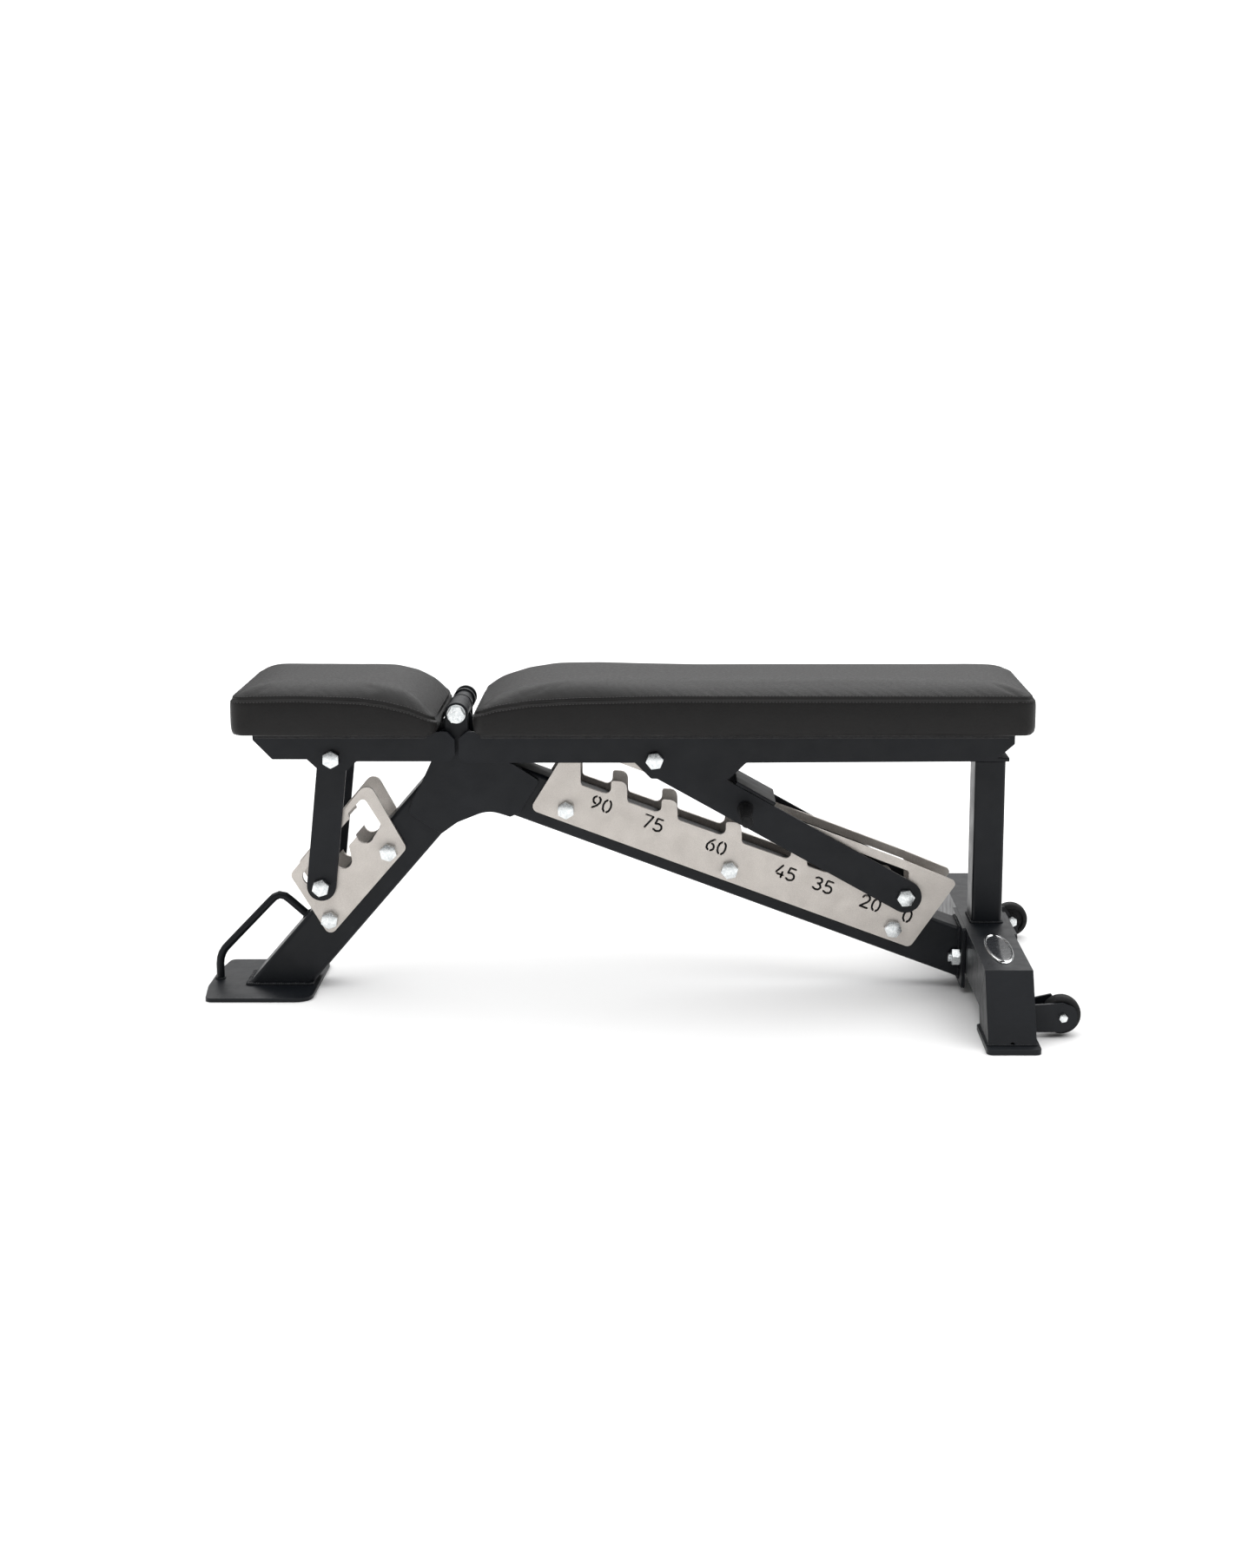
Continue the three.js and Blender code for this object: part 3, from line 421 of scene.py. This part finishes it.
# %% Bolt head, washer and stud
def hexagon(bm, across, height, place):
    made = bmesh.ops.create_cone(
        bm, cap_ends=True, cap_tris=False, segments=48, radius1=across / 2,
        radius2=across / 2, depth=height,
    )["verts"]
    bmesh.ops.translate(bm, verts=made, vec=(0, 0, height / 2))
    faces = {f for v in made for f in v.link_faces}
    top = max((f for f in faces if len(f.verts) > 4), key=lambda f: f.calc_center_median().z)
    bmesh.ops.inset_individual(bm, faces=[top], thickness=across * 0.06)
    crown = across / 2 * 0.94
    inner = set(top.verts)
    for v in set(made) | inner:
        if v in inner:
            v.co.xy = v.co.xy.normalized() * crown
            continue
        turn = math.atan2(v.co.y, v.co.x) % (math.pi / 3) - math.pi / 6
        radius = across / 2 / math.cos(turn)
        v.co.xy = v.co.xy.normalized() * radius
        if v.co.z > height * 0.5:
            v.co.z = height - (radius - crown) * 0.5
    fresh = list(set(made) | inner)
    bmesh.ops.transform(bm, matrix=place, verts=fresh)
    for v in fresh:
        v.tag = True


def washer(bm, radius, thick, place):
    soft = thick * 0.3
    rim = [(0, 0), (radius - soft, 0), (radius, soft), (radius, thick - soft), (radius - soft, thick),
           (0, thick)]
    lathe(bm, rim, place, 40)


def stud(bm, radius, length, place):
    """A threaded end: a zigzag profile with a chamfered tip."""
    profile = [(0, 0), (radius * 0.9, 0)]
    pitch = 0.002
    turns = max(1, int(length / pitch))
    for i in range(turns):
        z = length * (i + 0.5) / turns
        profile += [(radius, z), (radius * 0.88, z + length / turns * 0.45)]
    profile += [(radius * 0.75, length), (0, length)]
    lathe(bm, profile, place, 24)


# %% [markdown]
# Through bolts and plate bolts
#
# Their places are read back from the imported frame: the box round each packed bolt gives its
# centre line and its two ends. The head is on the near side, and the nut with a little stud
# showing is on the far side.

# %% Bolts along Y
M14_ACROSS = 0.022  # hexagon, from flat to flat
M14_RADIUS = 0.0069  # thread
HEAD = 0.009  # head and nut height
WASHER = 0.0018  # washer thickness
RIM = 0.0108  # washer radius, just inside the hexagon


def through_bolt(node, body, turn):
    low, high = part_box(node)
    x, z = (low.x + high.x) / 2, (low.z + high.z) / 2
    near, far = low.y + HEAD, high.y - HEAD - 0.003
    bm = bmesh.new()
    washer(bm, RIM, WASHER, facing((x, near + WASHER, z), (0, -1, 0)))
    hexagon(bm, M14_ACROSS, HEAD, facing((x, near, z), (0, -1, 0), turn))
    washer(bm, RIM, WASHER, facing((x, far - WASHER, z), (0, 1, 0)))
    hexagon(bm, M14_ACROSS, HEAD, facing((x, far, z), (0, 1, 0), turn + 0.3))
    stud(bm, M14_RADIUS, high.y - far - 0.006, facing((x, far + 0.006, z), (0, 1, 0)))
    lathe(bm, [(0, 0), (0.0068, 0), (0.0068, far - near - 0.002), (0, far - near - 0.002)],
          facing((x, near + 0.001, z), (0, 1, 0)), 32)
    return by_angle(piece(node + "_detail", bm, zinc, body, [node]))


def plate_bolt(node, body, side, turn):
    low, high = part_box(node)
    x, z = (low.x + high.x) / 2, (low.z + high.z) / 2
    inner, outer = (high.y, low.y) if side < 0 else (low.y, high.y)
    root = outer - side * HEAD
    bm = bmesh.new()
    hexagon(bm, M14_ACROSS, HEAD, facing((x, root, z), (0, side, 0), turn))
    washer(bm, RIM, WASHER, facing((x, root - side * WASHER, z), (0, side, 0)))
    shank = abs(root - inner) - 0.0005
    lathe(bm, [(0, 0), (0.0063, 0), (M14_RADIUS, 0.0006), (M14_RADIUS, shank), (0, shank)],
          facing((x, inner, z), (0, side, 0)), 32)
    return by_angle(piece(node + "_detail", bm, zinc, body, [node]))


for i, node in enumerate(("back_ladder_bolt_1", "back_ladder_bolt_2", "back_ladder_bolt_3",
                          "seat_ladder_bolt_1", "seat_ladder_bolt_2")):
    through_bolt(node, "frame", (0.55, 0.2, 0.9, 0.35, 0.75)[i])
through_bolt("seat_pivot_bolt", "seat", 0.5)
through_bolt("back_pivot_bolt", "back", 0.15)
for node, body, turn in (("seat_strut_bolt", "seat_strut", 0.3), ("back_strut_bolt", "back_strut", 0.1)):
    plate_bolt(node + "_near", body, -1, turn)
    plate_bolt(node + "_far", body, 1, turn + 0.4)

# %% Bolts along X, through the rear foot
for word in ("near", "far"):
    node = "flange_bolt_" + word
    low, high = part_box(node)
    y, z = (low.y + high.y) / 2, (low.z + high.z) / 2
    bm = bmesh.new()
    face = low.x + 0.018
    washer(bm, RIM, 0.002, facing((face, y, z), (-1, 0, 0)))
    hexagon(bm, M14_ACROSS, 0.011, facing((face - 0.002, y, z), (-1, 0, 0), 0.25))
    stud(bm, M14_RADIUS, 0.006, facing((face - 0.012, y, z), (-1, 0, 0)))
    hexagon(bm, M14_ACROSS, HEAD, facing((high.x - HEAD, y, z), (1, 0, 0), 0.6))
    grip = high.x - HEAD - face
    lathe(bm, [(0, 0), (0.0068, 0), (0.0068, grip), (0, grip)], facing((face, y, z), (1, 0, 0)), 32)
    by_angle(piece(node + "_detail", bm, zinc, "frame", [node]))

# %% [markdown]
# Wheels
#
# Each wheel is a solid rubber-tyred roller. The profile is drawn once, from the bore out
# over the hub, down into the recessed web, up to the tyre's side and over its crowned
# tread, and turned round the axle.


# %% Wheels
def wheel(node, body):
    low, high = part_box(node)
    x, z = (low.x + high.x) / 2, (low.z + high.z) / 2
    half = (high.y - low.y) / 2
    y = (high.y + low.y) / 2
    radius = (high.z - low.z) / 2
    side = [
        (0.00535, half), (0.0098, half), (0.0102, half - 0.0006), (0.0106, half - 0.0034),
        (0.0112, half - 0.0040), (0.0178, half - 0.0040), (0.0184, half - 0.0034),
        (0.0188, half - 0.0012), (0.0194, half - 0.0008), (radius - 0.0048, half - 0.0010),
        (radius - 0.0020, half - 0.0022), (radius - 0.0006, half - 0.0048), (radius, half - 0.0085),
    ]
    profile = side + [(r, -h) for r, h in reversed(side)]
    profile.append(profile[0])
    bm = bmesh.new()
    lathe(bm, profile, facing((x, y, z), (0, 1, 0)), 72)
    return by_angle(piece(node + "_roller", bm, rubber, body, [node]), 40)


wheel("wheel_near", "wheel_near")
wheel("wheel_far", "wheel_far")

# %% [markdown]
# Wheel axles
#
# The axle is a bolt with a domed head outside the wheel and a nut inside the bracket.

# %% Wheel axles
for word, side in (("near", -1), ("far", 1)):
    node = "wheel_axle_" + word
    low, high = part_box(node)
    x, z = (low.x + high.x) / 2, (low.z + high.z) / 2
    outer, inner = (low.y, high.y) if side < 0 else (high.y, low.y)
    length = abs(outer - inner)
    bm = bmesh.new()
    shank = length - 0.0005
    lathe(bm, [(0, 0), (0.0046, 0), (0.0049, 0.0006), (0.0049, shank), (0, shank)],
          facing((x, inner, z), (0, side, 0)), 32)
    root = outer - side * 0.0065
    hexagon(bm, 0.0105, 0.0065, facing((x, root, z), (0, side, 0), 0.2))
    hexagon(bm, 0.015, 0.0055, facing((x, inner + side * 0.0065, z), (0, -side, 0), 0.5))
    by_angle(piece(node + "_detail", bm, zinc, "frame", [node]))

# %% [markdown]
# Pull handle
#
# The peg that lifts the back strut out of its notch wears a moulded grip: a collar, then
# shallow rings, then a rounded end.

# %% Pull handle
low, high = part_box("strut_handle")
x, z = (low.x + high.x) / 2, (low.z + high.z) / 2
reach = high.y - low.y
start = 0.0063
GRIP = 0.0085
GROOVE = 0.0077
RINGS = 13
grip = [(0, 0), (0.0069, 0), (0.0069, start), (0.0103, start), (0.011, start + 0.0008),
        (0.011, start + 0.006), (0.0098, start + 0.0078), (GRIP, start + 0.009)]
step = (reach - start - 0.022) / RINGS
for i in range(RINGS):
    h = start + 0.012 + step * i
    grip += [(GRIP, h), (GROOVE, h + step * 0.18), (GROOVE, h + step * 0.36), (GRIP, h + step * 0.54)]
grip += [(GRIP, reach - 0.006), (0.0079, reach - 0.003), (0.0062, reach - 0.001),
         (0.0035, reach - 0.0002), (0, reach)]
bm = bmesh.new()
lathe(bm, grip, facing((x, high.y, z), (0, -1, 0)), 56)
by_angle(piece("pull_grip", bm, rubber, "back_strut", ["strut_handle"]), 50)

# %% [markdown]
# Badge
#
# The oval badge is a bright rim round a dark inlay. Both are turned round, the rim with a
# sunk middle for the inlay, and then stretched to an oval. The inlay is left blank.

# %% Badge
low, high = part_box("badge")
centre = (low + high) / 2
long_half, short_half = (high.y - low.y) / 2, (high.x - low.x) / 2
oval = Matrix.Translation((centre.x, centre.y, low.z))
oval @= Matrix.Diagonal((short_half, long_half, high.z - low.z, 1))
bm = bmesh.new()
rim = [(0, 0), (1, 0), (1, 0.35), (0.985, 0.7), (0.95, 0.95), (0.91, 1), (0.87, 0.95), (0.84, 0.72),
       (0.83, 0.45), (0, 0.45)]
lathe(bm, rim, Matrix.Identity(4), 96)
bmesh.ops.transform(bm, matrix=oval, verts=bm.verts)
by_angle(piece("badge_rim", bm, chrome, "frame", ["badge"]), 50)
bm = bmesh.new()
lathe(bm, [(0, 0.46), (0.82, 0.46), (0.81, 0.56), (0.79, 0.60), (0, 0.66)], Matrix.Identity(4), 96)
bmesh.ops.transform(bm, matrix=oval, verts=bm.verts)
by_angle(piece("badge_inlay", bm, enamel, "frame"), 50)

# %% [markdown]
# Welds
#
# The tubes and plates are joined by fillet welds, and the powder coat follows their
# ripples. A weld is a row of overlapping flattened beads, a few millimetres apart. Each bead
# is a small sphere with few faces, since there are hundreds of them.


# %% Weld beads
BATCH = 30


def scatter(bm, places, radius, around, along):
    """Adds a small ball at each place, in batches, as an operator slows when its bmesh grows."""
    for first in range(0, len(places), BATCH):
        batch = bmesh.new()
        for place in places[first:first + BATCH]:
            bmesh.ops.create_uvsphere(
                batch, u_segments=around, v_segments=along, radius=radius, matrix=place,
            )
        lump = bpy.data.meshes.new("batch")
        batch.to_mesh(lump)
        batch.free()
        bm.from_mesh(lump)
        bpy.data.meshes.remove(lump)


def weld_row(bm, path, size=0.0026, pitch=0.0026):
    """Beads along straight runs between points, with a slight natural unevenness."""
    count = 0
    places = []
    for a, b in zip(path, path[1:]):
        a, b = Vector(a), Vector(b)
        run = (b - a).length
        steps = max(1, round(run / pitch))
        for i in range(steps):
            here = a.lerp(b, (i + 0.5) / steps)
            swell = 1 + 0.12 * math.sin(count * 1.7) + 0.08 * math.sin(count * 0.61)
            along = (b - a).to_track_quat("X", "Z").to_matrix().to_4x4()
            scale = Matrix.Diagonal((0.85 * swell, swell, swell, 1))
            places.append(Matrix.Translation(here) @ along @ scale)
            count += 1
    scatter(bm, places, size, 8, 6)


def ring_path(centre, radius, normal, steps=14):
    place = facing(centre, normal)
    return [place @ Vector((radius * math.cos(a), radius * math.sin(a), 0))
            for a in (math.tau * i / steps for i in range(steps + 1))]


def weld_box(bm, x0, x1, y0, y1, z, size, pitch):
    """A row of beads round a level rectangle."""
    weld_row(bm, [(x0, y0, z), (x1, y0, z), (x1, y1, z), (x0, y1, z), (x0, y0, z)], size, pitch)


bm = bmesh.new()
slope = math.radians(49.2)  # of the front leg
half = 0.035  # half a tube's width
foot_z = 0.0065
low_end = Vector((-0.4925, 0, 0.029))  # a point on the leg's centre line
mid = low_end.x + (foot_z - low_end.z) / math.tan(slope)
reach = half / math.sin(slope)
weld_box(bm, mid - reach, mid + reach, -half, half, foot_z, 0.0034, 0.003)
weld_row(bm, ring_path((-0.604, 0, 0.0062), 0.0062, (0, 0, 1)), 0.0022, 0.0022)
leg_up = Vector((-math.sin(slope), 0, math.cos(slope)))
on_leg = low_end + 0.068 * Vector((math.cos(slope), 0, math.sin(slope))) + half * leg_up
weld_row(bm, ring_path(on_leg, 0.0064, leg_up), 0.0022, 0.0022)
low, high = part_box("rear_post")
weld_box(bm, low.x, high.x, low.y, high.y, low.z + 0.0002, 0.0024, 0.0024)
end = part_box("beam_flange")[0].x - 0.0004
mid_z, rise = 0.0544, half / math.cos(math.radians(20.49))
weld_row(bm, [(end, -half, mid_z + rise), (end, -half, mid_z - rise), (end, half, mid_z - rise),
              (end, half, mid_z + rise), (end, -half, mid_z + rise)], 0.0028, 0.0026)
for word, side in (("near", -1), ("far", 1)):
    low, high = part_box("foot_leg_" + word)
    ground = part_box("foot_plate_" + word)[1].z + 0.0004
    outer = 0.333 * side
    inner = 0.238 * side
    weld_row(bm, [(low.x, inner, ground), (low.x, outer, ground), (high.x, outer, ground),
                  (high.x, inner, ground), (low.x, inner, ground)], 0.0018, 0.0022)
piece("weld_beads", bm, powder, "frame")

# %% [markdown]
# The pads' seams
#
# Each pad has a top panel sewn to a side band, and the seam runs round it a little below
# the crest, dipping where the pad slopes down to the hinge. The seam's height is given at
# a few places along the pad, and read off between them. Distance to the seam is measured
# inwards from the rounded outline and up or down from that height.

# %% Seam helpers
CORNER = 0.022


def between(stops, x):
    """The height at x on a line through (x, height) stops."""
    if x <= stops[0][0]:
        return stops[0][1]
    for (xa, za), (xb, zb) in zip(stops, stops[1:]):
        if x <= xb:
            return za + (zb - za) * (x - xa) / (xb - xa)
    return stops[-1][1]


def inset_of(x, y, low, high):
    """How far a point lies inside the pad's rounded outline, seen from above."""
    dx = abs(x - (low.x + high.x) / 2) - ((high.x - low.x) / 2 - CORNER)
    dy = abs(y) - (high.y - CORNER)
    outside = math.hypot(max(dx, 0), max(dy, 0)) + min(max(dx, dy), 0)
    return CORNER - outside


def outline_walk(low, high, pitch):
    """Points and outward directions round the pad's outline, evenly spaced."""
    r = CORNER
    runs = []
    for cx, cy, a in ((high.x - r, low.y + r, -90), (high.x - r, high.y - r, 0),
                      (low.x + r, high.y - r, 90), (low.x + r, low.y + r, 180)):
        for k in range(9):
            t = math.radians(a + 90 * k / 8)
            out = Vector((math.cos(t), math.sin(t), 0))
            runs.append((Vector((cx, cy, 0)) + out * r, out))
    runs.append(runs[0])
    left = 0.0
    for (a, na), (b, nb) in zip(runs, runs[1:]):
        length = (b - a).length
        while left < length:
            t = left / length
            yield a.lerp(b, t), na.lerp(nb, t).normalized()
            left += pitch
        left -= length


# %% [markdown]
# The pads' stuffing
#
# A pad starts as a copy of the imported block, voxel-remeshed into even small faces. The top
# is shaped into a crown, then cloth simulation blows it up slightly, with the seam and the
# underside held, so the top panel and the side band swell between the stitching the way
# foam fills a tight cover. The travel is capped smoothly, and the result is kept as plain
# mesh with one subdivision. Last, the seam is drawn in and small puckers are raised by it.


# %% Pad helpers
def remeshed_copy(node, voxel):
    bm = bmesh.new()
    bm.from_mesh(parts[node].data)
    bmesh.ops.remove_doubles(bm, verts=bm.verts, dist=0.00002)
    rough = bpy.data.meshes.new(node + "_block")
    bm.to_mesh(rough)
    bm.free()
    obj = bpy.data.objects.new(node + "_cover", rough)
    bpy.context.scene.collection.objects.link(obj)
    grid = obj.modifiers.new("grid", "REMESH")
    grid.mode = "VOXEL"
    grid.voxel_size = voxel
    keep_result(obj)
    return obj


def keep_result(obj):
    """Replaces the object's mesh with what its modifiers make of it."""
    bpy.context.view_layer.update()
    depsgraph = bpy.context.evaluated_depsgraph_get()
    baked = bpy.data.meshes.new_from_object(obj.evaluated_get(depsgraph))
    obj.modifiers.clear()
    obj.data = baked


def crown(obj, node, seam, crest):
    """Raises the top from the seam to the crest line, steeply at first, then nearly flat."""
    low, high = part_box(node)
    for v in obj.data.vertices:
        line = between(seam, v.co.x)
        peak = between(crest, v.co.x)
        if v.co.z > line - 0.0005:
            inside = min(1.0, max(0.0, inset_of(v.co.x, v.co.y, low, high)) / 0.060)
            lift = 1 - (1 - inside) ** 3.2
            v.co.z = line + max(0.0, (peak - line)) * lift


HELD = 0.0045  # how far from the underside and the seam the cover is held


def swell(obj, node, seam, cap):
    low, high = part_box(node)
    held = obj.vertex_groups.new(name="held")
    start = []
    facings = [v.normal.copy() for v in obj.data.vertices]
    for v, outward in zip(obj.data.vertices, facings):
        inside = max(0.0, inset_of(v.co.x, v.co.y, low, high))
        gap = math.hypot(inside, v.co.z - between(seam, v.co.x))
        v.co += outward * 0.0018
        under = v.co.z < low.z + HELD
        if under:
            v.co.z = max(v.co.z, low.z + 0.0002)
        if under or gap < HELD:
            held.add([v.index], 1.0, "REPLACE")
        start.append(v.co.copy())
    cloth = obj.modifiers.new("filling", "CLOTH")
    cloth.settings.vertex_group_mass = "held"
    cloth.settings.use_pressure = True
    cloth.settings.uniform_pressure_force = 4
    cloth.settings.quality = 5
    cloth.settings.tension_stiffness = 25
    cloth.settings.compression_stiffness = 25
    cloth.settings.bending_stiffness = 1.5
    cloth.settings.effector_weights.gravity = 0
    scene = bpy.context.scene
    for moment in range(1, 21):
        scene.frame_set(moment)
    keep_result(obj)
    scene.frame_set(1)
    for v, was in zip(obj.data.vertices, start):
        move = v.co - was
        if move.length > 1e-7:
            v.co = was + move.normalized() * cap * math.tanh(move.length / cap)


def draw_in(obj, node, seam):
    """Notes each point's distance to the seam, draws the seam in and puckers the cover by it."""
    low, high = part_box(node)
    near = obj.data.attributes.new("seam", "FLOAT", "POINT")
    flat = low.z + 0.002
    facings = [v.normal.copy() for v in obj.data.vertices]
    for v, outward in zip(obj.data.vertices, facings):
        inside = max(0.0, inset_of(v.co.x, v.co.y, low, high))
        rise = v.co.z - between(seam, v.co.x)
        gap = math.hypot(inside, rise)
        near.data[v.index].value = gap
        if v.co.z < flat:
            continue
        pull = 0.0016 * math.exp(-((gap / 0.0028) ** 2))
        along = v.co.x + v.co.y * 0.83
        pucker = math.sin(along * 390) + 0.6 * math.sin(along * 271 + 1.3)
        pucker *= 0.00022 * math.exp(-gap / 0.016) * min(1.0, gap / 0.004)
        v.co += outward * (pucker - pull)


def sewn_pad(node, body, seam, crest):
    low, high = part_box(node)
    cover = remeshed_copy(node, 0.0055)
    crown(cover, node, seam, crest)
    smooth_out(cover, 2)
    swell(cover, node, seam, 0.0045)
    round_off = cover.modifiers.new("finer", "SUBSURF")
    round_off.levels = round_off.render_levels = 1
    keep_result(cover)
    draw_in(cover, node, seam)
    for face in cover.data.polygons:
        face.use_smooth = True
    cover.data.materials.clear()
    cover.data.materials.append(vinyl)
    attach(cover, body)
    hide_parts(node)
    print(cover.name, len(cover.data.polygons), "faces")
    return cover


def smooth_out(obj, rounds):
    bm = bmesh.new()
    bm.from_mesh(obj.data)
    for _ in range(rounds):
        bmesh.ops.smooth_vert(
            bm, verts=bm.verts, factor=0.5, use_axis_x=True, use_axis_y=True, use_axis_z=True,
        )
    bm.to_mesh(obj.data)
    bm.free()


# %% [markdown]
# Stitching
#
# A row of short thread stitches runs on each side of the seam. Each stitch is a small
# rounded rod laid on the cover, found by dropping a point onto the finished surface.


# %% Stitch rows
def stitches(cover, node, body, seam, name):
    low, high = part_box(node)
    surface = bmesh.new()
    surface.from_mesh(cover.data)
    tree = BVHTree.FromBMesh(surface)
    surface.free()
    bm = bmesh.new()
    pitch = 0.0046
    places = []
    for inward, rise in ((0.0035, 0.0032), (-0.001, -0.0042)):
        spots = []
        for at, out in outline_walk(low, high, pitch):
            z = between(seam, at.x)
            aim = Vector((at.x, at.y, z)) - out * inward + Vector((0, 0, rise))
            point, normal, _, _ = tree.find_nearest(aim)
            spots.append((point, normal))
        for (a, na), (b, nb) in zip(spots, spots[1:]):
            along = (b - a).normalized()
            place = Matrix.Translation((a + b) / 2 + (na + nb) * 0.00005)
            place @= along.to_track_quat("Z", "Y").to_matrix().to_4x4()
            places.append(place @ Matrix.Diagonal((1, 1, 3.6, 1)))
    scatter(bm, places, 0.00048, 6, 5)
    return piece(name, bm, thread, body)


# %% Seat pad
seat_seam = [(-0.554, 0.4410), (-0.46, 0.4430), (-0.376, 0.4400), (-0.342, 0.4355),
             (-0.304, 0.4260), (-0.264, 0.4095)]
seat_crest = [(-0.556, 0.446), (-0.541, 0.4545), (-0.520, 0.4575), (-0.345, 0.4570),
              (-0.315, 0.4500), (-0.290, 0.4370), (-0.264, 0.4140)]
seat_cover = sewn_pad("seat_pad", "seat", seat_seam, seat_crest)
stitches(seat_cover, "seat_pad", "seat", seat_seam, "seat_stitches")

# %% Back pad
back_seam = [(-0.217, 0.4195), (-0.185, 0.4290), (-0.135, 0.4363), (-0.068, 0.4400),
             (0.05, 0.4425), (0.563, 0.4420)]
back_crest = [(-0.219, 0.4240), (-0.190, 0.4400), (-0.150, 0.4530), (-0.110, 0.4590),
              (-0.05, 0.4600), (0.02, 0.4585), (0.10, 0.4568), (0.49, 0.4570), (0.535, 0.4560),
              (0.553, 0.4520), (0.566, 0.4450)]
back_cover = sewn_pad("back_pad", "back", back_seam, back_crest)
stitches(back_cover, "back_pad", "back", back_seam, "back_stitches")
